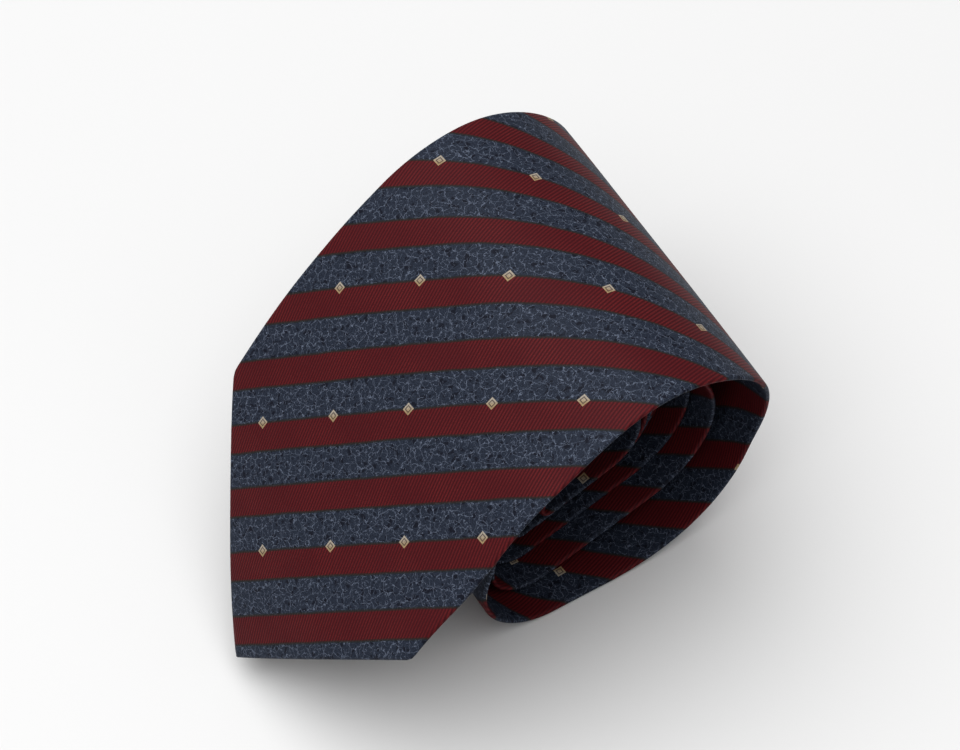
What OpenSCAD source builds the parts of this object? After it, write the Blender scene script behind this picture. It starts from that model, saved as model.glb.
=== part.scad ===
// A necktie, loosely rolled up from its narrow end and resting on the table, with the
// wide blade's pointed end hanging free over the roll. Millimetres, +Z up. The roll's
// axis lies along Y, and the blade's tip points to -X.

/* [Tie] */
// Length of the tie from tip to tip
tie_length = 1400; // [1380:5:1405]
// Width of the blade across its two corners
blade_width = 90; // [80:1:92]
// Width of the tail across its two corners
tail_width = 46; // [40:1:50]
// Width at the narrowest place, behind the neck
neck_width = 38; // [32:1:42]
// Thickness of the pressed tie, from face to back
thickness = 1.9; // [1.6:0.1:1.9]
// Thickness of one ply of silk
silk = 0.4; // [0.3:0.05:0.45]
// Thickness of the woollen interlining
interlining_t = 1.0; // [0.6:0.1:1]

/* [Roll] */
// Distance between one turn and the next
pitch = 2.5; // [2.4:0.05:2.55]
// Radius of the outermost turn's round side
outer_r = 35; // [35:0.25:36]
// Radius of the second turn's round side
second_r = 28; // [28:0.25:29]
// How far the winding drifts sideways in its first turn
drift = 14; // [0:1:16]

/* [Blade end] */
// Arc length from the tip to the line where the free end lifts
lift_at = 108; // [106:1:112]
// How steeply the tip itself stands
tip_slope = 60; // [58:1:62]
// Width of the folded edges beside the tipping
hem = 11; // [8:1:14]
// Arc length from the tip to the bar tack
tack_at = 96; // [90:1:100]

/* [Trim] */
// Arc length from the tip to the keeper loop
keeper_at = 196; // [190:1:200]
// Length of the keeper loop along the tie
keeper_l = 18; // [12:1:22]
// Length of the keeper loop across the tie
keeper_w = 44; // [36:1:50]
// Seam between the blade and the neck piece
neck_seam_at = 600; // [560:10:640]
// Seam between the neck piece and the tail
tail_seam_at = 1010; // [980:10:1040]

/* [Hidden] */
half_t = thickness / 2;
corner_at = blade_width / 2;        // the tip is a right angle, so its corners lie here
tail_corner_at = tie_length - tail_width / 2;
narrowest_at = 800;
inner_turns = 8;                    // turns inside the outermost one
least_w = 1.5;                      // half the width that the tips are rounded off to
seam_gap = 0.3;                     // half the slit that the slip stitch closes
hinge_gap = 0.2;                    // half the slit at the lift line
stitch_w = 0.4;                     // half the width of a piecing seam
tail_tack = 60;                     // arc length from the tail's tip to its bar tack
tack_l = 2;                         // length of a bar tack along the tie
keeper_t = 2;                       // how far the keeper loop stands off the back
lining_clear = 0.6;                 // between the interlining's edge and the fold
tip_clear = 4;                      // from the shell's tip to the interlining's
touch = 0.02;                       // between pieces that lie on each other
facet = 15;                         // degrees between rings on a bend
row_gap = 3;                        // between rings where the tie's shape changes quickly
least_run = 0.1;                    // the shortest run between two rings
burgundy = [0.36, 0.09, 0.12];
slate = [0.24, 0.29, 0.38];
cream = [0.80, 0.76, 0.66];
black = [0.08, 0.08, 0.10];

// ---- The winding: a line drawn tight around round posts, each [x, z, radius] ----
tip_post = [133.4, -75.5, 160];
sag_post = [142.5, -53.2, 150];
outer_post = [87.5, 48, outer_r];
floor_post = [80, 40 + half_t, 40];
left_post = [66, 17.5 + half_t, 17.5];
left_r = 9.5;                       // the second turn's tight left bend
left_step = 2.3;                    // how much tighter each next left bend is
least_r = 2;                        // the tightest bend the layers can make
left_move = 5.2;                    // how far a left bend then moves up the roll
function past(n) = max(0, n - (left_r - least_r) / left_step);
function right_inner(n) = [86 - 0.2 * n, 43 - 0.3 * n, second_r - pitch * n];
function left_inner(n) = [64 + 0.6 * left_move * past(n), 14 + 0.8 * left_move * past(n),
                          max(least_r, left_r - left_step * n)];
posts = concat([tip_post, sag_post, outer_post, floor_post, left_post],
               [for (n = [0 : inner_turns - 1], side = [0, 1])
                   side == 0 ? right_inner(n) : left_inner(n)]);

// Heading of the straight run from one post to the next, both on its right hand
function heading(a, b) =
    let (dx = b[0] - a[0], dz = b[1] - a[1])
    atan2(dz, dx) + asin((b[2] - a[2]) / norm([dx, dz]));
function wound_to(h, before) = h - 360 * ceil((h - before) / 360);
headings = [for (i = 0, h = tip_slope; i < len(posts);
                 h = i < len(posts) - 1 ? wound_to(heading(posts[i], posts[i + 1]), h) : h,
                 i = i + 1) h];
function on_post(p, h) = [p[0] - p[2] * sin(h), p[1] + p[2] * cos(h), h];
function bend_steps(from, to) = [from, for (k = [ceil(from / facet) - 1 : -1 : floor(to / facet) + 1])
                                 k * facet, to];
stations = [for (i = [0 : len(posts) - 2]) for (h = bend_steps(headings[i], headings[i + 1]))
                on_post(posts[i], h)];
function gap(i) = norm([stations[i + 1][0] - stations[i][0], stations[i + 1][1] - stations[i][1]]);
arc = [for (i = 0, s = 0; i < len(stations);
            s = i < len(stations) - 1 ? s + gap(i) : s, i = i + 1) s];
table_x = [for (i = [0 : len(arc) - 1]) [arc[i], stations[i][0]]];
table_z = [for (i = [0 : len(arc) - 1]) [arc[i], stations[i][1]]];
table_h = [for (i = [0 : len(arc) - 1]) [arc[i], stations[i][2]]];

// ---- The flat tie: half its width and its sideways drift at each arc length ----
function side_w(s) = lookup(s, [[corner_at, blade_width / 2], [150, blade_width / 2], [300, 40],
                                [narrowest_at, neck_width / 2], [tail_corner_at, tail_width / 2]]);
function half_w(s) = max(least_w, min(s, tie_length - s, side_w(s)));
function shift(s) = lookup(s, [[corner_at, 0], [85, 0.36 * drift], [150, 0.7 * drift], [270, drift],
                               [420, drift], [tie_length, drift / 2]]);
// A point at arc length s, v across the tie and n outward from its middle layer
function place(s, v, n) =
    let (h = lookup(s, table_h))
    [lookup(s, table_x) - n * sin(h) - mid_x, shift(s) + v - mid_y, lookup(s, table_z) + n * cos(h)];
low_x = min([for (p = stations) p[0] - half_t * sin(p[2])]);
high_x = max([for (p = stations) p[0] - half_t * sin(p[2])]);
mid_x = (low_x + high_x) / 2;
low_y = -half_w(corner_at);
high_y = max([for (s = arc) shift(s) + half_w(s)]);
mid_y = (low_y + high_y) / 2;

// ---- Sweeping: closed rings joined into one solid ----
// Every piece takes its rings from the same rows: the stations, and more of them over both
// pointed ends and under the labels
function row_step(s) =
    s < keeper_at + keeper_l || s > tie_length - tail_tack - row_gap ? row_gap : tie_length;
rows = [for (i = [0 : len(arc) - 2])
            let (run = arc[i + 1] - arc[i], k = ceil(run / row_step(arc[i])))
            for (j = [0 : k - 1]) arc[i] + run * j / k];
function between(s0, s1) = concat([s0], [for (s = rows) if (s > s0 + least_run && s < s1 - least_run) s],
                                  [s1]);
box_cap = [[0, 1, 2, 3]];
wrap_cap = [[0, 1, 6, 7], [1, 2, 5, 6], [2, 3, 4, 5], [7, 8, 11, 0], [8, 9, 10, 11]];

module sweep(rings, cap) {
    k = len(rings[0]);
    last = k * (len(rings) - 1);
    walls = [for (i = [0 : len(rings) - 2], j = [0 : k - 1])
                 let (a = i * k + j, b = i * k + (j + 1) % k)
                 each [[a, b, b + k], [a, b + k, a + k]]];
    near_end = [for (q = cap) [for (m = [len(q) - 1 : -1 : 0]) q[m]]];
    far_end = [for (q = cap) [for (m = q) m + last]];
    polyhedron(points = [for (r = rings) each r], faces = concat(walls, near_end, far_end));
}

// A plain strip of half width v, from n0 up to n1
function strip_ring(s, v, n0, n1) = [place(s, -v, n1), place(s, v, n1), place(s, v, n0), place(s, -v, n0)];

// A ply wrapped around both edges: whole on side n1, with a slit of half width g on side n0
function wrap_ring(s, w, g, n0, n1, ply) =
    let (k = sign(n1 - n0), d = k * ply, edge = k * w, fold = k * (w - ply), slit = k * g)
    [place(s, -edge, n1), place(s, edge, n1), place(s, edge, n0), place(s, slit, n0),
     place(s, slit, n0 + d), place(s, fold, n0 + d), place(s, fold, n1 - d),
     place(s, -fold, n1 - d), place(s, -fold, n0 + d), place(s, -slit, n0 + d),
     place(s, -slit, n0), place(s, -edge, n0)];

// Half the slit at the back: hems run beside the tipping and close to a seam at the tack
function back_slit(s) =
    let (u = min(s, tie_length - s), shut = s < narrowest_at ? tack_at : tail_tack)
    max(seam_gap, min(half_w(s) - hem, shut - u));

module shell(list) {
    sweep([for (s = list) wrap_ring(s, half_w(s), min(back_slit(s), half_w(s) - 2 * silk),
                                    -half_t, half_t, silk)], wrap_cap);
}

// ---- The silk shell, in three pieces ----
module blade_shell_end() {
    color(burgundy) shell(between(0, lift_at - hinge_gap));
}

module blade_shell_wound() {
    color(burgundy) shell(between(lift_at + hinge_gap, neck_seam_at - stitch_w));
}

module neck_shell() {
    color(slate) shell(between(neck_seam_at + stitch_w, tail_seam_at - stitch_w));
}

module tail_shell() {
    color(burgundy) shell(between(tail_seam_at + stitch_w, tie_length));
}

// ---- The interlining that fills the shell ----
module interlining(list) {
    sweep([for (s = list) strip_ring(s, half_w(s) - silk - lining_clear, -interlining_t / 2,
                                     interlining_t / 2)], box_cap);
}

module interlining_end() {
    color(cream) interlining(between(tip_clear, lift_at - hinge_gap));
}

module interlining_wound() {
    color(cream) interlining(between(lift_at + hinge_gap, tie_length - tip_clear));
}

// ---- The lining of the two pointed pockets, between the hems at the back ----
module tipping(list) {
    sweep([for (s = list) strip_ring(s, back_slit(s) - seam_gap, -half_t, -half_t + silk)], box_cap);
}

module blade_tipping() {
    color(black) tipping(between(hem + tack_l, tack_at - tack_l));
}

module tail_tipping() {
    color(black) tipping(between(tie_length - tail_tack + tack_l, tie_length - hem - tack_l));
}

// ---- Stitches, labels and the keeper, all on the back ----
module back_patch(s0, s1, v, t) {
    sweep([for (s = between(s0, s1)) strip_ring(s, v, -half_t - t, -half_t - touch)], box_cap);
}

module front_bar_tack() {
    color(burgundy) back_patch(tack_at, tack_at + tack_l, 6, 0.6);
}

module tail_bar_tack() {
    color(burgundy) back_patch(tie_length - tail_tack - tack_l, tie_length - tail_tack, 5, 0.6);
}

module care_label() {
    color(cream) back_patch(70, 86, 8, 0.3);
}

module brand_label() {
    color(cream) back_patch(keeper_at - 32, keeper_at - 6, 19, 0.4);
}

module keeper_loop() {
    color(slate)
        sweep([for (s = between(keeper_at, keeper_at + keeper_l))
                   wrap_ring(s, keeper_w / 2, seam_gap, -half_t - touch, -half_t - keeper_t, silk)],
              wrap_cap);
}

module seam(s) {
    color(burgundy)
        sweep([for (d = [-1, 1]) strip_ring(s + d * (stitch_w - touch), half_w(s) - silk,
                                            half_t - silk, half_t)], box_cap);
}

module neck_seam() {
    seam(neck_seam_at);
}

module tail_seam() {
    seam(tail_seam_at);
}

module slip_stitch(list) {
    color(burgundy)
        sweep([for (s = list) strip_ring(s, seam_gap - touch, -half_t, -half_t + silk)], box_cap);
}

module slip_stitch_end() {
    slip_stitch(between(tack_at, lift_at - hinge_gap));
}

module slip_stitch_wound() {
    slip_stitch(between(lift_at + hinge_gap, tie_length - tail_tack));
}

blade_shell_end();
blade_shell_wound();
neck_shell();
tail_shell();
interlining_end();
interlining_wound();
blade_tipping();
tail_tipping();
front_bar_tack();
tail_bar_tack();
keeper_loop();
brand_label();
care_label();
neck_seam();
tail_seam();
slip_stitch_end();
slip_stitch_wound();
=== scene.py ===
"""A necktie, loosely rolled up from its narrow end, with the pointed end of its wide blade
hanging free over the roll. Lengths are millimetres, and the meshes are made in metres.

The tie is laid out flat first: s runs along it from the blade's tip, v across it, and n out
of its face. place() then winds that flat tie into the roll."""

import math

import bmesh
import bpy
import numpy as np
from mathutils import Matrix, Vector


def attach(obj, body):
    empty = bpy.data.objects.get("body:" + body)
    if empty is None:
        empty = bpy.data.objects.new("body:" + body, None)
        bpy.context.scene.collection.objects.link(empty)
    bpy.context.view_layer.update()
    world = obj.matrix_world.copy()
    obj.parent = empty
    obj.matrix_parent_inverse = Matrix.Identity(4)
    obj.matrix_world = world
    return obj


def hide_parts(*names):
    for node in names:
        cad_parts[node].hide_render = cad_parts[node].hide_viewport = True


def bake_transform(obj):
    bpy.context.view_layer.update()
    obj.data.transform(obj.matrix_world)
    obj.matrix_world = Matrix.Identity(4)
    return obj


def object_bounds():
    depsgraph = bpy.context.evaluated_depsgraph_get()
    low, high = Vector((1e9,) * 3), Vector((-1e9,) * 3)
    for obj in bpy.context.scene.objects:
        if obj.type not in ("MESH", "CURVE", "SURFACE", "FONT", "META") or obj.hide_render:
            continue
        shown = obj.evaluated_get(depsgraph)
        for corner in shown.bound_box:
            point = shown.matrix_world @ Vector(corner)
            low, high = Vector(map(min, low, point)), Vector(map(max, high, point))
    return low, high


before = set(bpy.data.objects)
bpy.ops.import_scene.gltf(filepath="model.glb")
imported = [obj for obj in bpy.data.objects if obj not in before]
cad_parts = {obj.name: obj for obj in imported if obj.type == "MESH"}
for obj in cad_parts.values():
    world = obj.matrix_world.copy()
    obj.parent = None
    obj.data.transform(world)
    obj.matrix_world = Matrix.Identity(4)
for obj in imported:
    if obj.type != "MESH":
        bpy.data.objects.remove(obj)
CAD_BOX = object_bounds()
MM = 0.001

# ---- The flat tie ----
TIE_LENGTH = 1400.0
BLADE_HALF = 45.0               # half the width across the blade's corners
TIP_RUN = {-1: 44.8, 1: 47.0}   # arc length of the near corner and of the far one
NARROWEST_AT = 800.0
SIDES = [(0, BLADE_HALF), (46, BLADE_HALF), (65, 46.3), (140, 46.0), (300, 40), (NARROWEST_AT, 19),
         (1377, 23), (TIE_LENGTH, 23)]
DRIFT = [(0, 0), (46, 3.5), (65, 4.5), (85, 4.9), (115, 6.3), (142, 9.2), (158, 9.6), (182, 14.6),
         (200, 15.6), (250, 15.6), (280, 14.2), (420, 14), (TIE_LENGTH, 7)]
HALF_T = 0.8                    # half the thickness along the middle
EDGE_T = 0.6                    # and beside the pressed edges
FOLD_R = 0.9                    # how far an edge's rounding reaches in
PLY = 0.28                      # one ply of silk
TIP_ROUND = 2.0                 # length over which the very tip thins out
HEM = 11.0
TACK_AT = 96.0
TAIL_TACK = 60.0                # from the tail's tip
LAP = {-1: 5.0, 1: 1.0}         # how far the under flap and the upper one cross the middle
RISE = 0.3                      # how far the upper flap stands on the under one
LINING_HALF_T = 0.34
LINING_INSET = 1.1
TIPPING_N = (-0.5, -0.37)
TIPPING_UNDER = 1.5             # how far the tipping runs in under the hems
SPLIT_AT = 248.0                # under the roll, where the free cloth meets the wound one
NECK_SEAM_AT = 600.0
TAIL_SEAM_AT = 1010.0
KEEPER = (196.0, 214.0, 22.0)   # from, to, and half the width
BRAND_LABEL = (164.0, 190.0, 19.0)
CARE_LABEL = (70.0, 86.0, 8.0)
BRAND_LABEL_T, CARE_LABEL_T, KEEPER_T = 0.3, 0.25, 0.5
KEEPER_BULGE = 1.4              # how far the keeper's middle stands off the back
LINING_SHORT = 4.0              # how far the lining stops short of each tip
TIPPING_SHORT = 2.0             # how far a tipping stops short of the hem and of the tack
TIP_GAP = 0.05                  # what the silk's meshes leave off at each tip
SEAM_GAP = 0.15                 # and on each side of a piecing seam
NECK_SHIFT, TAIL_SHIFT = 6.0, -9.0      # how far the pattern jumps at those seams

# ---- Threads: radius, and how far apart the stitches are ----
TACK_THREAD_R, SLIP_THREAD_R, PICK_THREAD_R, SEAM_THREAD_R = 0.2, 0.13, 0.11, 0.13
SLIP_EVERY, PICK_EVERY, SEAM_EVERY = 9.0, 5.0, 2.3
SLIP_LENGTH, SEAM_STITCH = 2.6, 1.7
FRONT_TACK_HALF, TAIL_TACK_HALF = 5.0, 4.0      # half the length of each bar tack
TACK_PITCH = 0.45               # from one turn of a bar tack's thread to the next

# ---- The winding: a line drawn tight around round posts, each (x, z, radius) ----
TIP_SLOPE = 60.0
INNER_TURNS = 8
PITCH = 2.5
SECOND_R = 28.0
LEFT_R, LEFT_STEP, LEAST_R, LEFT_MOVE = 9.5, 2.3, 2.0, 5.2
CAD_HALF_T = 0.95
BEND_STEP = 1.5                 # degrees between points of the line on a bend
ROW_STEP, ROW_TURN = 2.2, 6.0   # mm and degrees from one row of a mesh to the next

# ---- The cloth's pattern, in mm across the stripes (q) and along them (p) ----
STRIPE_TILT = math.radians(41.5)
STRIPES = 15.0                  # from one stripe to the next
NAVY_W = 8.2
LOZENGE_P, LOZENGE_EVERY_P = 13.4, 22.5
LOZENGE_Q, LOZENGE_EVERY_Q = 24.7, 30.0
LOZENGE_W, LOZENGE_H = 1.55, 1.5
BORDER_W = 0.3                  # half the width of the dark line beside each stripe
TWILL = 0.8                     # from one diagonal rib of the twill to the next
TWILL_TILT = math.radians(-28)
VEINS = [(0.36, 0.030, 0.40), (0.62, 0.042, 0.47)]     # scale, line width, share left out
VEIN_BEND = 2.4                 # how far noise pushes the curling lines aside


# ---------------------------------------------------------------- the winding
def posts():
    """The round posts that the tie is wound on, from the blade's tip inwards."""
    found = [(133.4, -75.5, 160.0), (142.5, -53.2, 150.0), (87.5, 48.0, 35.0),
             (80.0, 40 + CAD_HALF_T, 40.0), (66.0, 17.5 + CAD_HALF_T, 17.5)]
    for n in range(INNER_TURNS):
        past = max(0.0, n - (LEFT_R - LEAST_R) / LEFT_STEP)
        found.append((86 - 0.2 * n, 43 - 0.3 * n, SECOND_R - PITCH * n))
        found.append((64 + 0.6 * LEFT_MOVE * past, 14 + 0.8 * LEFT_MOVE * past,
                      max(LEAST_R, LEFT_R - LEFT_STEP * n)))
    return found


def heading(a, b):
    """Direction in degrees of the straight run from post a to post b, both on its right."""
    dx, dz = b[0] - a[0], b[1] - a[1]
    return math.degrees(math.atan2(dz, dx) + math.asin((b[2] - a[2]) / math.hypot(dx, dz)))


def wind(route):
    """The winding as rows of (arc length, x, z, heading in radians)."""
    turn = [TIP_SLOPE]
    for a, b in zip(route, route[1:]):
        h = heading(a, b)
        turn.append(h - 360 * math.ceil((h - turn[-1]) / 360))
    points = []
    for (x, z, r), before, after in zip(route, turn, turn[1:]):
        for h in np.linspace(before, after, max(2, int((before - after) / BEND_STEP))):
            a = math.radians(h)
            points.append((x - r * math.sin(a), z + r * math.cos(a), a))
    line = np.array(points).T
    run = np.hypot(np.diff(line[0]), np.diff(line[1]))
    return np.vstack([np.concatenate([[0], np.cumsum(run)]), line])


ARC, LINE_X, LINE_Z, LINE_H = wind(posts())
WORK = np.concatenate([[0], np.cumsum(np.diff(ARC) / ROW_STEP
                                      + np.abs(np.diff(LINE_H)) / math.radians(ROW_TURN))])
MID_X = (LINE_X - CAD_HALF_T * np.sin(LINE_H)).min() - CAD_BOX[0].x / MM
MID_Y = CAD_BOX[1].y / MM - BLADE_HALF


def rows(s0, s1, finer=1.0):
    """Arc lengths from s0 to s1, close together where the tie bends."""
    w0, w1 = np.interp([s0, s1], ARC, WORK)
    return np.interp(np.linspace(w0, w1, 1 + math.ceil((w1 - w0) * finer)), WORK, ARC)


def soft(s, table, reach=12.0):
    """Straight runs between the table's points, with their corners rounded over."""
    at, value = zip(*table)
    return np.mean([np.interp(s + d, at, value) for d in np.linspace(-reach, reach, 7)], axis=0)


def lesser(a, b, k):
    """The smaller of a and b, with the corner between them rounded."""
    f = np.clip(0.5 + 0.5 * (b - a) / k, 0, 1)
    return b + (a - b) * f - k * f * (1 - f)


def smooth(x):
    x = np.clip(x, 0, 1)
    return x * x * (3 - 2 * x)


def half_width(s, side):
    front = 0.3 + s * BLADE_HALF / TIP_RUN[side]
    back = 0.3 + TIE_LENGTH - s
    return lesser(lesser(front, soft(s, SIDES), 1.2), back, 1.2)


def ripple(s, y):
    """How far the cloth stands off its smooth winding: soft waves, none where it rests."""
    free = 1 - smooth((s - 110) / 60)
    waves = (0.30 * np.sin(s / 9.0 + y / 17.0) + 0.22 * np.sin(s / 5.5 - y / 11.0 + 1.3)
             + 0.25 * np.sin(y / 8.0 + 0.6))
    near_edge = smooth((-y - 25) / 20)
    return free * (0.35 * waves + 0.5 * near_edge * np.sin(s / 6.5 + 0.4)) + (1 - free) * 0.10 * waves


def place(s, v, n):
    """The point at arc length s, v across the tie and n out of its face, in metres."""
    s, v, n = np.broadcast_arrays(s, v, n)
    h = np.interp(s, ARC, LINE_H)
    y = soft(s, DRIFT) + v
    out = n + ripple(s, y)
    return np.stack([np.interp(s, ARC, LINE_X) - out * np.sin(h) - MID_X, y - MID_Y,
                     np.interp(s, ARC, LINE_Z) + out * np.cos(h)], axis=-1) * MM


def weave(s, y):
    """Pattern coordinates of the flat point s along and y across: (along, across) the stripes."""
    c, k = math.cos(STRIPE_TILT), math.sin(STRIPE_TILT)
    return np.stack([s * c - y * k, s * k + y * c], axis=-1)


# ---------------------------------------------------------------- meshes
def new_object(name, points, faces, uv, material, sharp=50):
    """A mesh object with its faces turned outwards, smooth but for its sharp edges."""
    mesh = bpy.data.meshes.new(name)
    mesh.from_pydata(points.tolist(), [], faces)
    layer = mesh.uv_layers.new(name="weave")
    corner = np.empty(len(mesh.loops), dtype=np.int32)
    mesh.loops.foreach_get("vertex_index", corner)
    layer.data.foreach_set("uv", uv[corner].astype(np.float32).ravel())
    bm = bmesh.new()
    bm.from_mesh(mesh)
    bmesh.ops.recalc_face_normals(bm, faces=bm.faces)
    for face in bm.faces:
        face.smooth = True
    for edge in bm.edges:
        if len(edge.link_faces) == 2 and edge.calc_face_angle(0) > math.radians(sharp):
            edge.smooth = False
    bm.to_mesh(mesh)
    bm.free()
    mesh.materials.append(material)
    obj = bpy.data.objects.new(name, mesh)
    bpy.context.scene.collection.objects.link(obj)
    return obj


def tube_faces(count, around, caps):
    """Faces of rings joined into a tube, with quads (a, b, c, d) of ring places as its caps."""
    faces = [(i * around + j, i * around + (j + 1) % around, (i + 1) * around + (j + 1) % around,
              (i + 1) * around + j) for i in range(count - 1) for j in range(around)]
    last = (count - 1) * around
    return faces + [tuple(reversed(q)) for q in caps] + [tuple(last + k for k in q) for q in caps]


def side_contour(s, side, inset):
    """v and n from the middle of the face round one edge to the flap's inner edge."""
    s = s[:, None]
    w = half_width(s, side)
    end = np.minimum(s, TIE_LENGTH - s) + 0.1
    thin = np.sqrt(1 - np.clip(1 - end / TIP_ROUND, 0, 1) ** 2)
    in_w, in_h = np.minimum(inset, 0.4 * w), np.minimum(inset, 0.4 * EDGE_T * thin)
    r = np.maximum(0.05, np.minimum(FOLD_R, 0.6 * w) - in_w)
    flat = w - in_w - r
    shut = np.where(s < NARROWEST_AT, TACK_AT, TAIL_TACK) - np.minimum(s, TIE_LENGTH - s)
    slit = np.maximum(-np.minimum(LAP[side], 0.6 * flat), np.minimum(w - HEM, shut))

    def height(v):
        return (EDGE_T + (HALF_T - EDGE_T) * (1 - (np.abs(v) / flat) ** 4)) * thin - in_h

    face_v = flat * np.linspace(0, 1, 15)[None, :]
    bend = np.radians(np.linspace(90, -90, 9)[None, 1:-1])
    flap_v = flat + (slit - flat) * np.linspace(0, 1, 13)[None, :]
    lift = RISE * thin * smooth((LAP[-1] + 3 - flap_v) / 3) * (slit < 0) if side > 0 else 0
    v = np.concatenate([face_v, flat + r * np.cos(bend), flap_v], axis=1)
    edge_n = (EDGE_T * thin - in_h) * np.sin(bend)
    n = np.concatenate([height(face_v), edge_n, -height(flap_v) - lift], axis=1)
    folded = np.concatenate([np.zeros(face_v.shape[1]), np.sin(bend[0]) < 0,
                             np.ones(flap_v.shape[1])]).astype(bool)
    return v, n, np.where(folded[None, :], w - v, 0)


def contour(s, inset):
    """v, n and flat (s, y) of a whole ply, from the near flap's inner edge to the far one's."""
    flat_s, flat_y, vs, ns = [], [], [], []
    for side in (-1, 1):
        v, n, back = side_contour(s, side, inset)
        edge = soft(s, DRIFT) + side * half_width(s, side)
        tilt = 2 * np.arctan(np.gradient(edge, s))[:, None]
        y = soft(s, DRIFT)[:, None] + side * v
        over = back > 0
        fs = np.where(over, s[:, None] - side * back * np.sin(tilt), s[:, None])
        fy = np.where(over, edge[:, None] + side * back * np.cos(tilt), y)
        order = slice(None, 0, -1) if side < 0 else slice(None)
        vs.append((side * v)[:, order])
        ns.append(n[:, order])
        flat_s.append(fs[:, order])
        flat_y.append(fy[:, order])
    return [np.concatenate(a, axis=1) for a in (vs, ns, flat_s, flat_y)]


def wrapped_ply(name, s0, s1, material, finer=1.0, cut_shift=0.0):
    """The silk over s0 to s1, folded round both edges, with its flaps closed at the back."""
    s = rows(s0, s1, finer)
    points, uv = [], []
    for inset in (0.0, PLY):
        v, n, flat_s, flat_y = contour(s, inset)
        order = slice(None) if inset == 0 else slice(None, None, -1)
        points.append(place(s[:, None], v, n)[:, order])
        uv.append(weave(flat_s + cut_shift, flat_y)[:, order])
    points, uv = np.concatenate(points, axis=1), np.concatenate(uv, axis=1)
    around = points.shape[1]
    half = around // 2
    caps = [(k, k + 1, around - 2 - k, around - 1 - k) for k in range(half - 1)]
    faces = tube_faces(len(s), around, caps)
    return new_object(name, points.reshape(-1, 3), faces, uv.reshape(-1, 2), material)


def slab(name, s, v, low, high, material):
    """A closed sheet over the grid (s, v) between the heights low and high."""
    s, v, low, high = np.broadcast_arrays(s, v, low, high)
    points = np.concatenate([place(s, v, high), place(s, v, low)[:, ::-1]], axis=1)
    flat = weave(s, soft(s, DRIFT) + v)
    uv = np.concatenate([flat, flat[:, ::-1]], axis=1)
    around = points.shape[1]
    caps = [(k, k + 1, around - 2 - k, around - 1 - k) for k in range(around // 2 - 1)]
    faces = tube_faces(len(points), around, caps)
    return new_object(name, points.reshape(-1, 3), faces, uv.reshape(-1, 2), material, sharp=60)


def threads(name, routes, radius, material, sides=6):
    """Separate closed threads, each along its own short route of points in metres."""
    points, faces, uv = [], [], []
    for route in routes:
        route = np.asarray(route)
        along = np.gradient(route, axis=0)
        along /= np.linalg.norm(along, axis=1)[:, None]
        across = np.cross(along, np.array([0.31, 0.42, 0.85]))
        across /= np.linalg.norm(across, axis=1)[:, None]
        up = np.cross(across, along)
        start = len(points) * sides
        run = np.concatenate([[0], np.cumsum(np.linalg.norm(np.diff(route, axis=0), axis=1))]) / MM
        swell = radius * MM * np.sqrt(np.clip(1 - np.linspace(-0.96, 0.96, len(route)) ** 6, 0.05, 1))
        for p, a, u, d, r in zip(route, across, up, run, swell):
            turn = [2 * math.pi * k / sides for k in range(sides)]
            points.append([p + r * (math.cos(t) * a + math.sin(t) * u) for t in turn])
            uv.append([(d, k / sides) for k in range(sides)])
        caps = [tuple(range(sides))]
        faces += [tuple(start + k for k in f) for f in tube_faces(len(route), sides, caps)]
    points, uv = np.array(points).reshape(-1, 3), np.array(uv).reshape(-1, 2)
    return new_object(name, points, faces, uv, material, sharp=80)


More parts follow.
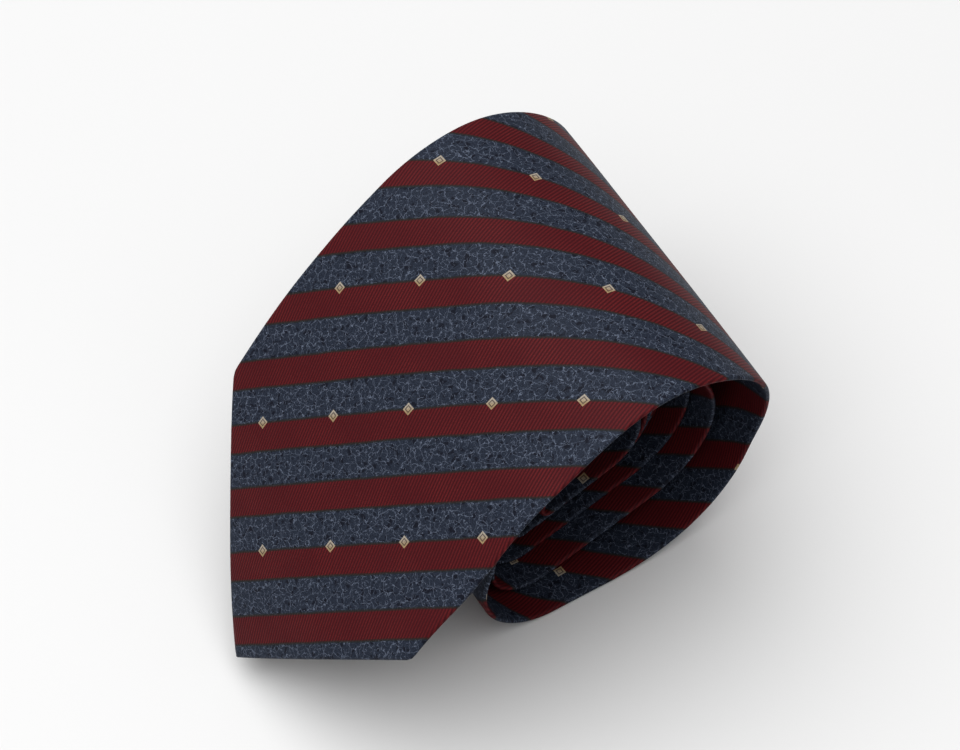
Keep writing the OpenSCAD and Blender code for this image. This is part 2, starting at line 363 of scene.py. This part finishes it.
# ---------------------------------------------------------------- shader helpers
class Shader:
    """A material's node tree, with short ways to add the nodes that the cloths need."""

    def __init__(self, name):
        self.material = bpy.data.materials.new(name)
        self.material.use_nodes = True
        self.tree = self.material.node_tree
        self.bsdf = self.tree.nodes["Principled BSDF"]

    def add(self, kind, inputs=(), **settings):
        node = self.tree.nodes.new(kind)
        for key, value in settings.items():
            setattr(node, key, value)
        for slot, value in dict(inputs).items():
            if isinstance(value, bpy.types.NodeSocket):
                self.tree.links.new(value, node.inputs[slot])
            else:
                node.inputs[slot].default_value = value
        return node

    def math(self, operation, *values, clamp=False):
        node = self.add("ShaderNodeMath", enumerate(values), operation=operation, use_clamp=clamp)
        return node.outputs[0]

    def range(self, value, low, high, a=0.0, b=1.0):
        return self.add("ShaderNodeMapRange", [(0, value), (1, low), (2, high), (3, a), (4, b)],
                        interpolation_type="SMOOTHSTEP").outputs[0]

    def mix(self, factor, a, b, blend="MIX"):
        node = self.add("ShaderNodeMix", [(0, factor), (6, a), (7, b)], data_type="RGBA",
                        blend_type=blend)
        return node.outputs[2]

    def mix_values(self, factor, a, b):
        return self.add("ShaderNodeMix", [(0, factor), (2, a), (3, b)], data_type="FLOAT").outputs[0]

    def size(self, value):
        """The value without its sign."""
        return self.math("ABSOLUTE", value)

    def coordinates(self, name="weave"):
        uv = self.add("ShaderNodeUVMap", uv_map=name).outputs[0]
        parts = self.add("ShaderNodeSeparateXYZ", [(0, uv)])
        return uv, parts.outputs[0], parts.outputs[1]

    def noise(self, vector, scale, detail=2.0, roughness=0.5):
        return self.add("ShaderNodeTexNoise", [("Vector", vector), ("Scale", scale), ("Detail", detail),
                                               ("Roughness", roughness)])

    def wave(self, along, period):
        """Rises and falls between 0 and 1 over each period of the value along."""
        turn = self.math("MULTIPLY", along, 2 * math.pi / period)
        return self.math("MULTIPLY_ADD", self.math("SINE", turn), 0.5, 0.5)

    def tilted(self, p, q, angle):
        a = self.math("MULTIPLY", p, math.cos(angle))
        return self.math("MULTIPLY_ADD", q, math.sin(angle), a)

    def offset_from(self, value, centre, every):
        """Distance from the nearest of the places centre + every * i."""
        turns = self.math("DIVIDE", self.math("SUBTRACT", value, centre), every)
        whole = self.math("ROUND", turns)
        return self.math("MULTIPLY", self.math("SUBTRACT", turns, whole), every)

    def finish(self, colour, height, strength, distance, **sockets):
        self.tree.links.new(colour, self.bsdf.inputs["Base Color"])
        bump = self.add("ShaderNodeBump", [("Height", height), ("Strength", strength),
                                           ("Distance", distance)])
        self.tree.links.new(bump.outputs[0], self.bsdf.inputs["Normal"])
        for name, value in sockets.items():
            self.bsdf.inputs[name.replace("_", " ")].default_value = value
        return self.material


def colour(red, green, blue):
    """A colour given in sRGB steps of 0 to 255, as the linear values that a socket holds."""
    def linear(c):
        c /= 255
        return c / 12.92 if c <= 0.04045 else ((c + 0.055) / 1.055) ** 2.4
    return linear(red), linear(green), linear(blue), 1.0


# ---------------------------------------------------------------- materials
def vermicelli(g, uv):
    """Pale curling lines on the navy stripes: the edges of bent cells, broken up by noise."""
    bend = g.noise(uv, 0.7, 2.0).outputs["Color"]
    shifted = g.add("ShaderNodeVectorMath", [(0, bend), (1, (0.5, 0.5, 0.5))], operation="SUBTRACT")
    bent = g.add("ShaderNodeVectorMath",
                 [(0, shifted.outputs[0]), (1, (VEIN_BEND, VEIN_BEND, 0.0)), (2, uv)],
                 operation="MULTIPLY_ADD")
    lines = []
    for scale, width, left_out in VEINS:
        cell = g.add("ShaderNodeTexVoronoi", [("Vector", bent.outputs[0]), ("Scale", scale)],
                     voronoi_dimensions="2D", feature="DISTANCE_TO_EDGE").outputs["Distance"]
        spots = g.noise(uv, 0.7 * scale + 0.35).outputs["Fac"]
        shown = g.range(spots, left_out - 0.05, left_out + 0.05)
        lines.append(g.math("MULTIPLY", g.range(cell, 0.35 * width, width, 1.0, 0.0), shown))
    return g.math("MAXIMUM", *lines)


def red_stripe(g, uv, twill, grain):
    """Dark red with the twill's ribs lighter, and slow changes of shade."""
    ribs = g.math("MULTIPLY", twill, g.range(grain, 0.25, 0.75, 0.25, 1.0))
    red = g.mix(ribs, colour(60, 11, 19), colour(113, 35, 37))
    shade = g.noise(uv, 0.08, 2.0).outputs["Fac"]
    return g.mix(g.range(shade, 0.3, 0.7, 0.0, 0.4), red, colour(68, 10, 20))


def navy_stripe(g, uv, vein, grain):
    """Mottled navy with darker blotches, under the pale curling lines."""
    blotch = g.range(g.noise(uv, 0.62, 1.0).outputs["Fac"], 0.56, 0.66)
    ground = g.mix(g.range(grain, 0.35, 0.70), colour(28, 33, 45), colour(50, 58, 73))
    ground = g.mix(g.math("MULTIPLY", blotch, 0.8), ground, colour(12, 14, 28))
    pale = g.math("MULTIPLY", vein, g.range(grain, 0.25, 0.6, 0.25, 1.0))
    return g.mix(pale, ground, colour(100, 108, 124))


def lozenges(g, p, q, grain):
    """(where they are, their colour): pale woven lozenges with one dark ring inside."""
    dp = g.size(g.offset_from(p, LOZENGE_P, LOZENGE_EVERY_P))
    dq = g.offset_from(q, LOZENGE_Q, LOZENGE_EVERY_Q)
    reach = g.math("ADD", g.math("DIVIDE", dp, LOZENGE_W), g.math("DIVIDE", g.size(dq), LOZENGE_H))
    ring = g.range(g.size(g.math("SUBTRACT", reach, 0.52)), 0.08, 0.16, 1.0, 0.0)
    gold = g.mix(g.range(dq, -0.9, 0.9), colour(160, 138, 102), colour(172, 164, 150))
    gold = g.mix(g.math("MULTIPLY", ring, 0.8), gold, colour(52, 40, 44))
    gold = g.mix(g.range(grain, 0.35, 0.65, 0.45, 0.0), gold, colour(96, 84, 80))
    return g.math("LESS_THAN", reach, 1.0), gold


def striped_silk():
    g = Shader("striped_silk")
    uv, p, q = g.coordinates()
    grain = g.noise(uv, 3.1, 3.0, 0.7).outputs["Fac"]
    twill = g.wave(g.tilted(p, q, TWILL_TILT), TWILL)
    vein = vermicelli(g, uv)

    wander = g.math("MULTIPLY_ADD", g.noise(uv, 0.12).outputs["Fac"], 0.5, -0.25)
    across = g.math("ADD", q, wander)
    from_middle = g.size(g.offset_from(across, LOZENGE_Q + NAVY_W / 2, STRIPES))
    is_navy = g.math("LESS_THAN", from_middle, NAVY_W / 2)
    border = g.math("LESS_THAN", g.size(g.math("SUBTRACT", from_middle, NAVY_W / 2)), BORDER_W)
    cloth = g.mix(is_navy, red_stripe(g, uv, twill, grain), navy_stripe(g, uv, vein, grain))
    cloth = g.mix(g.math("MULTIPLY", border, 0.7), cloth, colour(36, 38, 34))
    lozenge, gold = lozenges(g, p, q, grain)
    cloth = g.mix(lozenge, cloth, gold)

    navy_relief = g.math("MULTIPLY_ADD", vein, 0.6, g.math("MULTIPLY", grain, 0.5))
    red_relief = g.math("MULTIPLY_ADD", twill, 0.8, g.math("MULTIPLY", grain, 0.25))
    height = g.mix_values(is_navy, red_relief, navy_relief)
    height = g.math("ADD", height, g.math("MULTIPLY", lozenge, 0.8))
    return g.finish(cloth, height, 0.5, 0.00012, Roughness=0.55, Specular_IOR_Level=0.16)


def tipping_silk():
    g = Shader("tipping_silk")
    uv, p, q = g.coordinates()
    rib = g.wave(g.tilted(p, q, math.radians(95)), 0.5)
    grain = g.noise(uv, 2.4, 3.0, 0.6).outputs["Fac"]
    cloth = g.mix(g.math("MULTIPLY", rib, grain), colour(20, 22, 32), colour(54, 58, 74))
    height = g.math("MULTIPLY_ADD", rib, 0.7, grain)
    return g.finish(cloth, height, 0.4, 0.0001, Roughness=0.38, Sheen_Weight=0.15, Sheen_Roughness=0.4)


def wool():
    g = Shader("wool_interlining")
    uv, p, q = g.coordinates()
    warp = g.wave(g.tilted(p, q, math.radians(40)), 1.1)
    weft = g.wave(g.tilted(p, q, math.radians(130)), 1.1)
    hair = g.noise(uv, 1.6, 5.0, 0.7).outputs["Fac"]
    check = g.math("MULTIPLY", warp, weft)
    pale = g.math("MULTIPLY_ADD", check, 0.5, g.math("MULTIPLY", hair, 0.5))
    cloth = g.mix(pale, colour(168, 158, 138), colour(226, 220, 204))
    return g.finish(cloth, g.math("ADD", check, hair), 0.7, 0.0002, Roughness=0.95, Sheen_Weight=0.3)


def thread_silk(name, dark, light):
    g = Shader(name)
    uv, p, q = g.coordinates()
    twist = g.wave(g.math("MULTIPLY_ADD", q, 0.5, p), 0.5)
    fuzz = g.noise(uv, 6.0, 3.0).outputs["Fac"]
    cloth = g.mix(g.math("MULTIPLY", twist, fuzz), dark, light)
    return g.finish(cloth, twist, 0.6, 0.00006, Roughness=0.5, Sheen_Weight=0.2)


def label_cloth():
    g = Shader("label_cloth")
    uv, p, q = g.coordinates()
    rib = g.wave(g.tilted(p, q, math.radians(50)), 0.42)
    pick = g.wave(g.tilted(p, q, math.radians(-40)), 0.6)
    grain = g.noise(uv, 2.0, 3.0).outputs["Fac"]
    cloth = g.mix(g.math("MULTIPLY", rib, pick), colour(186, 174, 148), colour(232, 224, 204))
    cloth = g.mix(g.range(grain, 0.5, 0.8, 0.0, 0.3), cloth, colour(206, 194, 168))
    return g.finish(cloth, g.math("ADD", rib, pick), 0.5, 0.00008, Roughness=0.42, Sheen_Weight=0.15)


SILK = striped_silk()
TIPPING = tipping_silk()
WOOL = wool()
RED_THREAD = thread_silk("silk_thread", colour(84, 24, 30), colour(150, 60, 58))
DARK_THREAD = thread_silk("silk_thread_dark", colour(40, 44, 56), colour(110, 116, 132))
LABEL = label_cloth()


# ---------------------------------------------------------------- the pieces
def back_of(s, v, extra):
    """Height of the back at (s, v), with the lap's rise, and extra beyond it."""
    lap = RISE * smooth((LAP[-1] + 3 - v) / 3) * smooth((v + LAP[1] + 0.3) / 0.6)
    return -(HALF_T + lap * smooth((s - TACK_AT) / 6) + extra)


def interlining(name, s0, s1):
    s = rows(s0, s1, 0.6)[:, None]
    w = [half_width(s, side) - PLY - LINING_INSET for side in (-1, 1)]
    u = np.linspace(-1, 1, 21)[None, :]
    v = np.where(u < 0, -w[0] * np.abs(u), w[1] * np.abs(u))
    t = LINING_HALF_T * np.sqrt(np.clip(1 - np.abs(u) ** 16, 0.1, 1))
    return slab(name, s, v, -t, t, WOOL)


def tipping_half(s, side, near_tip):
    """How far the tipping reaches out from the middle: in under the hems, to the closed lap."""
    end, tack = (s, TACK_AT) if near_tip else (TIE_LENGTH - s, TAIL_TACK)
    w = half_width(s, side)
    return np.minimum(np.minimum(w - HEM, tack - end) + TIPPING_UNDER, w - 2)


def tipping(name, s0, s1, near_tip):
    s = rows(s0, s1)[:, None]
    u = np.linspace(-1, 1, 25)[None, :]
    v = np.abs(u) * np.where(u < 0, -tipping_half(s, -1, near_tip), tipping_half(s, 1, near_tip))
    return slab(name, s, v, TIPPING_N[0], TIPPING_N[1], TIPPING)


def patch(name, span, extra, t, material, bulge=0.0):
    """A label or band on the back over span = (from, to, half its width)."""
    s = np.linspace(span[0], span[1], 14)[:, None]
    u = np.linspace(-1, 1, 33)[None, :]
    round_s = np.sqrt(np.clip(1 - np.abs(np.linspace(-1, 1, 14)) ** 12, 0.15, 1))[:, None]
    v = u * span[2]
    base = back_of(s, v, extra) - bulge * (1 - u ** 2) ** 0.8
    thick = t * round_s * np.sqrt(np.clip(1 - np.abs(u) ** 24, 0.15, 1))
    return slab(name, s, v, base - thick, base, material)


def stitch(s0, v0, s1, v1, arch, depth=0.1, count=6):
    """A short stitch on the back from (s0, v0) to (s1, v1), arched off the cloth."""
    k = np.linspace(0, 1, count)
    s, v = s0 + (s1 - s0) * k, v0 + (v1 - v0) * k
    out = arch * np.sin(math.pi * k) - depth * (1 - np.sin(math.pi * k))
    return place(s, v, back_of(s, v, out))


def slip_stitches(s0, s1):
    """The slip stitches along the lap's edge on the back."""
    edge = -LAP[1]
    return [stitch(s, edge - 1.1, s + SLIP_LENGTH, edge + 0.9, 0.12)
            for s in np.arange(s0, s1, SLIP_EVERY)]


def hem_stitches(s0, s1):
    """Small pick stitches that hold the hems to the blade's tipping."""
    made = []
    for s in np.arange(s0, s1, PICK_EVERY):
        for side in (-1, 1):
            slit = float(min(half_width(s, side) - HEM, TACK_AT - s))
            k = np.linspace(0, 1, 5)
            v = side * (slit - 0.6 + 1.5 * k)
            n = -(HALF_T - 0.25) - 0.35 * np.sin(math.pi * k * 0.8)
            made.append(place(np.full(5, s) + 0.5 * k, v, n))
    return made


def bar_tack(name, at, half):
    """Threads wound side by side over two core threads."""
    routes = [stitch(at - 0.4 + c, -half, at - 0.4 + c, half, 0.25, 0.0, 14) for c in (0.0, 0.8)]
    for v in np.arange(-half, half + 0.01, TACK_PITCH):
        routes.append(stitch(at - 1.0, v, at + 1.0, v + 0.12, 0.5, 0.05, 7))
    return threads(name, routes, TACK_THREAD_R, RED_THREAD)


def piecing_stitches(name, at):
    """A machine-sewn line across the face where two lengths of the tie are joined."""
    half = float(half_width(at, 1)) - 1.5
    k = np.linspace(0, 1, 5)
    routes = [place(at, v + SEAM_STITCH * k, HALF_T - 0.05 + 0.14 * np.sin(math.pi * k))
              for v in np.arange(-half, half - SEAM_STITCH, SEAM_EVERY)]
    return threads(name, routes, SEAM_THREAD_R, DARK_THREAD)


def bend(piece, *nodes, slot):
    """piece is fixed in place where it lies, and stands for the CAD nodes."""
    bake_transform(piece)
    if nodes:
        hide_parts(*nodes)
    return piece


def hold(piece, body, *nodes, slot):
    """piece rides on the body, and stands for the CAD nodes."""
    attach(piece, body)
    if nodes:
        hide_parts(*nodes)
    return piece


def silk_cut(s):
    """Width of the flat silk at s: the face, its folds and the flaps closed at the back."""
    closed = smooth((s - TACK_AT / 2) / (TACK_AT / 2))
    return sum(half_width(s, side) + np.clip(half_width(s, side), 0, HEM)
               + np.maximum(0, half_width(s, side) - HEM) * closed + LAP[side] for side in (-1, 1))


def lining_cut(s):
    """Width of the flat interlining at s."""
    return sum(half_width(s, side) - PLY - LINING_INSET for side in (-1, 1))


def blade_tipping_cut(s):
    return tipping_half(s, -1, True) + tipping_half(s, 1, True)


def tail_tipping_cut(s):
    return tipping_half(s, -1, False) + tipping_half(s, 1, False)


def as_sheet(piece, s0, s1, cut, held, *under):
    s = np.linspace(s0, s1, 200)
    width = cut(s)


def silk_pieces():
    blade = wrapped_ply("blade_silk_free", TIP_GAP, SPLIT_AT, SILK, finer=1.6)
    wound = wrapped_ply("blade_silk_wound", SPLIT_AT, NECK_SEAM_AT - SEAM_GAP, SILK)
    neck = wrapped_ply("neck_silk", NECK_SEAM_AT + SEAM_GAP, TAIL_SEAM_AT - SEAM_GAP, SILK,
                       cut_shift=NECK_SHIFT)
    tail = wrapped_ply("tail_silk", TAIL_SEAM_AT + SEAM_GAP, TIE_LENGTH - TIP_GAP, SILK,
                       cut_shift=TAIL_SHIFT)
    bend(blade, "blade_shell_end", "blade_shell_wound", slot="striped_silk")
    hold(wound, "roll", slot="striped_silk")
    hold(neck, "roll", "neck_shell", slot="striped_silk")
    hold(tail, "roll", "tail_shell", slot="striped_silk")
    linings = "interlining_free", "interlining_rolled"
    as_sheet(blade, 0.0, SPLIT_AT, silk_cut, "folded", *linings)
    as_sheet(wound, SPLIT_AT, NECK_SEAM_AT, silk_cut, "folded", *linings)
    as_sheet(neck, NECK_SEAM_AT, TAIL_SEAM_AT, silk_cut, "folded", *linings)
    as_sheet(tail, TAIL_SEAM_AT, TIE_LENGTH, silk_cut, "folded", *linings)


def interlining_pieces():
    first, last = LINING_SHORT, TIE_LENGTH - LINING_SHORT
    free = interlining("interlining_free", first, SPLIT_AT)
    rolled = interlining("interlining_rolled", SPLIT_AT, last)
    bend(free, "interlining_end", slot="wool_interlining")
    hold(rolled, "roll", "interlining_wound", slot="wool_interlining")
    as_sheet(free, first, SPLIT_AT, lining_cut, "laid", "blade_silk_free")
    as_sheet(rolled, SPLIT_AT, last, lining_cut, "laid", "blade_silk_wound")


def tipping_pieces():
    ends = HEM + TIPPING_SHORT, TACK_AT - TIPPING_SHORT
    blade = bend(tipping("blade_tipping_silk", *ends, True), "blade_tipping", slot="tipping_silk")
    as_sheet(blade, *ends, blade_tipping_cut, "laid", "interlining_free")
    ends = TIE_LENGTH - TAIL_TACK + TIPPING_SHORT, TIE_LENGTH - HEM - TIPPING_SHORT
    tail = hold(tipping("tail_tipping_silk", *ends, False), "roll", "tail_tipping", slot="tipping_silk")
    as_sheet(tail, *ends, tail_tipping_cut, "laid", "interlining_rolled")


def patch_sheet(piece, span, under):
    """Works out the straight width of a label or band over span = (from, to, half its width)."""
    as_sheet(piece, span[0], span[1], lambda s: np.full(len(s), 2 * span[2]), "laid", under)


def label_pieces():
    brand = patch("blank_label", BRAND_LABEL, 0.05, BRAND_LABEL_T, LABEL)
    care = patch("blank_care_label", CARE_LABEL, 0.05, CARE_LABEL_T, LABEL)
    keeper = patch("keeper_band", KEEPER, 0.1, KEEPER_T, SILK, bulge=KEEPER_BULGE)
    hold(brand, "roll", "brand_label", slot="label_cloth")
    hold(care, "blade_end", "care_label", slot="label_cloth")
    hold(keeper, "roll", "keeper_loop", slot="striped_silk")
    patch_sheet(brand, BRAND_LABEL, "blade_silk_free")
    patch_sheet(care, CARE_LABEL, "blade_tipping_silk")
    patch_sheet(keeper, KEEPER, "blade_silk_free")


def stitching():
    front = bar_tack("front_tack_thread", TACK_AT + 1, FRONT_TACK_HALF)
    back = bar_tack("tail_tack_thread", TIE_LENGTH - TAIL_TACK - 1, TAIL_TACK_HALF)
    free = threads("slip_stitches_free", slip_stitches(TACK_AT + 8, SPLIT_AT - 60), SLIP_THREAD_R,
                   RED_THREAD)
    wound = threads("slip_stitches_wound", slip_stitches(SPLIT_AT - 20, TIE_LENGTH - TAIL_TACK - 6),
                    SLIP_THREAD_R, RED_THREAD)
    hem = threads("hem_pick_stitches", hem_stitches(16, TACK_AT - 4), PICK_THREAD_R, DARK_THREAD)
    neck = piecing_stitches("neck_seam_stitches", NECK_SEAM_AT)
    tail = piecing_stitches("tail_seam_stitches", TAIL_SEAM_AT)
    bend(front, "front_bar_tack", slot="silk_thread")
    hold(back, "roll", "tail_bar_tack", slot="silk_thread")
    bend(free, "slip_stitch_end", slot="silk_thread")
    hold(wound, "roll", "slip_stitch_wound", slot="silk_thread")
    bend(hem, slot="silk_thread")
    hold(neck, "roll", "neck_seam", slot="silk_thread")
    hold(tail, "roll", "tail_seam", slot="silk_thread")


# ---------------------------------------------------------------- camera, floor and light
AZIMUTH, ELEVATION, ROLL = math.radians(-24.2), math.radians(55.7), math.radians(-6.5)
TARGET = Vector((61.22 - MID_X, -MID_Y, 40.6)) * MM
DISTANCE = 697.6 * MM
LENS = 112.6
AIM_RIGHT, AIM_UP = 0.00262, 0.0244     # how far beside the target the camera looks, as slopes
FLOOR_HALF = 3.0
FLOOR_GAP = 0.0002              # how far the floor lies under the tie
KEY_PLACE, KEY_SIZE, KEY_LIGHT = (-0.2, 0.08, 1.5), 2.6, 29.0
WORLD_LIGHT = 0.38


def camera():
    """Looks down at the roll's open end, from the front left and rolled a little."""
    back = Vector((math.sin(AZIMUTH) * math.cos(ELEVATION), -math.cos(AZIMUTH) * math.cos(ELEVATION),
                   math.sin(ELEVATION)))
    right = Vector((math.cos(AZIMUTH), math.sin(AZIMUTH), 0))
    up = back.cross(right)
    right, up = (math.cos(ROLL) * right + math.sin(ROLL) * up,
                 math.cos(ROLL) * up - math.sin(ROLL) * right)
    look = (-back + AIM_RIGHT * right + AIM_UP * up).normalized()
    side = look.cross(up).normalized()
    over = side.cross(look)
    data = bpy.data.cameras.new("camera")
    data.lens = LENS
    data.clip_start = 0.01
    cam = bpy.data.objects.new("camera", data)
    turn = Matrix((side, over, -look)).transposed().to_4x4()
    cam.matrix_world = Matrix.Translation(TARGET + back * DISTANCE) @ turn
    bpy.context.scene.collection.objects.link(cam)
    bpy.context.scene.camera = cam


def floor():
    g = Shader("pale_floor")
    place_at = g.add("ShaderNodeTexCoord").outputs["Object"]
    cloud = g.noise(place_at, 3.0, 2.0).outputs["Fac"]
    tone = g.mix(cloud, (0.70, 0.70, 0.70, 1), (0.74, 0.74, 0.74, 1))
    material = g.finish(tone, g.noise(place_at, 900.0, 2.0).outputs["Fac"], 0.05, 0.0002, Roughness=0.6)
    corners = [(x * FLOOR_HALF, y * FLOOR_HALF, 0) for x, y in ((-1, -1), (1, -1), (1, 1), (-1, 1))]
    mesh = bpy.data.meshes.new("floor")
    mesh.from_pydata(corners, [], [(0, 1, 2, 3)])
    mesh.materials.append(material)
    obj = bpy.data.objects.new("floor", mesh)
    obj.location.z = CAD_BOX[0].z - FLOOR_GAP
    bpy.context.scene.collection.objects.link(obj)


def key_light():
    """One wide soft light overhead."""
    data = bpy.data.lights.new("key", "AREA")
    data.shape = "DISK"
    data.size = KEY_SIZE
    data.energy = KEY_LIGHT
    obj = bpy.data.objects.new("key", data)
    obj.location = KEY_PLACE
    obj.rotation_mode = "QUATERNION"
    obj.rotation_quaternion = (TARGET - Vector(KEY_PLACE)).to_track_quat("-Z", "Y")
    bpy.context.scene.collection.objects.link(obj)


def lights():
    world = bpy.data.worlds.new("studio")
    world.use_nodes = True
    world.node_tree.nodes["Background"].inputs[0].default_value = (1, 1, 1, 1)
    world.node_tree.nodes["Background"].inputs[1].default_value = WORLD_LIGHT
    bpy.context.scene.world = world
    key_light()
    bpy.context.scene.view_settings.view_transform = "Standard"
    bpy.context.scene.view_settings.look = "Medium High Contrast"


camera()
floor()
lights()
silk_pieces()
interlining_pieces()
tipping_pieces()
label_pieces()
stitching()
